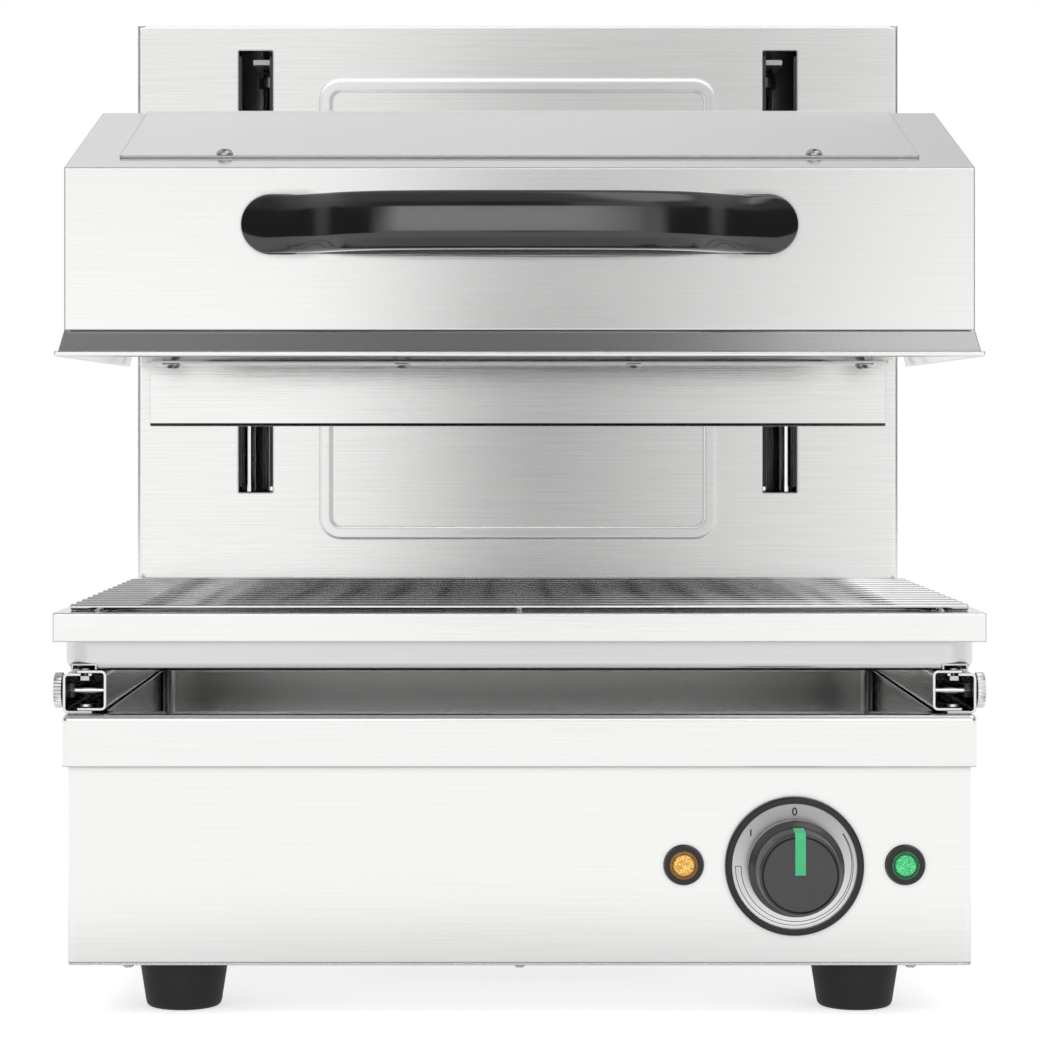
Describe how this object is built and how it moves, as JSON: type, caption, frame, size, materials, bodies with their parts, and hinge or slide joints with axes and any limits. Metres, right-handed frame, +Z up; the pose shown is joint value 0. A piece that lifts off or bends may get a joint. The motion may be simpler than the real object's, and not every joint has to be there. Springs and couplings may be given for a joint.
{
  "type": "lift grill",
  "caption": "Electric lift grill with a heated head on a rear column above a wire rack, drip pan and control base.",
  "frame": {"origin": "middle of the bounding box at floor level, under the rubber feet", "axes": "+X to the right seen from the front, +Y to the back, +Z up"},
  "size_m": [0.453, 0.462, 0.516],
  "materials": {
    "stainless": "satin, grain along X",
    "bright_reflector": "bright rolled",
    "heater_tube": "dull, heat darkened",
    "rack_wire": "polished wire",
    "chromed": "ground and chromed",
    "zinc_screw": "bright plated",
    "plated_steel": "zinc plated",
    "black_paint": "satin",
    "bronze": "sintered",
    "foot_rubber": "moulded",
    "black_plastic": "satin",
    "black_gloss": "gloss",
    "knob_grey": "satin",
    "pointer_green": "satin",
    "dial_silver": "spun",
    "amber_lens": "faceted translucent plastic",
    "green_lens": "faceted translucent plastic",
    "cream_plastic": "moulded",
    "ceramic_white": "unglazed"
  },
  "bodies": {
    "base": {"rubber_feet": "foot_rubber", "foot_bolts": "zinc_screw", "base_floor": "stainless", "base_shell": "stainless", "base_screws": "zinc_screw", "base_back": "stainless", "back_screws": "zinc_screw", "cable_gland": "black_plastic", "deck_pan": "stainless", "rail_outer_left": "stainless", "rail_outer_right": "stainless", "rail_keepers": "zinc_screw", "rail_nuts": "zinc_screw", "rod_deck": "stainless", "column_shell": "stainless", "column_back": "stainless", "column_screws": "zinc_screw", "slot_trims": "black_plastic", "guide_rods": "chromed", "rod_brackets": "plated_steel", "rod_collars": "plated_steel", "gas_struts": "black_paint", "strut_brackets": "plated_steel", "dial_bezel": "black_plastic", "dial_plate": "dial_silver", "energy_regulator": "cream_plastic", "lamp_holders": "black_plastic", "lamp_lens_amber": "amber_lens", "lamp_lens_green": "green_lens", "terminal_block": "ceramic_white"},
    "head": {"head_shell": "stainless", "head_cover": "stainless", "cover_screws": "zinc_screw", "head_back": "stainless", "head_skirt": "stainless", "reflector": "bright_reflector", "heating_elements": "heater_tube", "element_hangers": "bright_reflector", "element_insulators": "ceramic_white", "handle": "black_gloss", "handle_pads": "black_plastic", "handle_screws": "zinc_screw", "carriage_plate": "stainless", "carriage_angle": "stainless", "carriage_screws": "zinc_screw", "slot_spacers": "plated_steel", "sliders": "plated_steel", "slider_bushings": "bronze", "strut_rods": "chromed"},
    "control_knob": {"knob": "knob_grey", "knob_pointer": "pointer_green", "knob_shaft": "plated_steel"},
    "left_clamp": {"thumb_screw_left": "zinc_screw"},
    "right_clamp": {"thumb_screw_right": "zinc_screw"},
    "tray": {"rail_inner_left": "stainless", "rail_inner_right": "stainless", "slide_screws": "zinc_screw", "drip_pan": "stainless", "grid_frame": "stainless"},
    "rack": {"wire_rack": "rack_wire"}
  },
  "joints": [
    {"name": "head_lift", "type": "slide", "parent": "base", "child": "head", "axis": [0, 0, 1], "range_m": [-0.08, 0.04]},
    {"name": "knob_turn", "type": "hinge", "parent": "base", "child": "control_knob", "pos_m": [0.1328, -0.183, 0.075], "axis": [0, 1, 0], "range_deg": [0, 310]},
    {"name": "left_clamp_turn", "type": "hinge", "parent": "base", "child": "left_clamp", "pos_m": [-0.22, -0.169, 0.1589], "axis": [-1, 0, 0], "range_deg": [0, 360]},
    {"name": "right_clamp_turn", "type": "hinge", "parent": "base", "child": "right_clamp", "pos_m": [0.22, -0.169, 0.1589], "axis": [1, 0, 0], "range_deg": [0, 360]},
    {"name": "tray_slide", "type": "slide", "parent": "base", "child": "tray", "axis": [0, -1, 0], "range_m": [0, 0.1]},
    {"name": "rack_lift", "type": "slide", "parent": "tray", "child": "rack", "axis": [0, 0, 1], "range_m": [0, 0.035]}
  ]
}
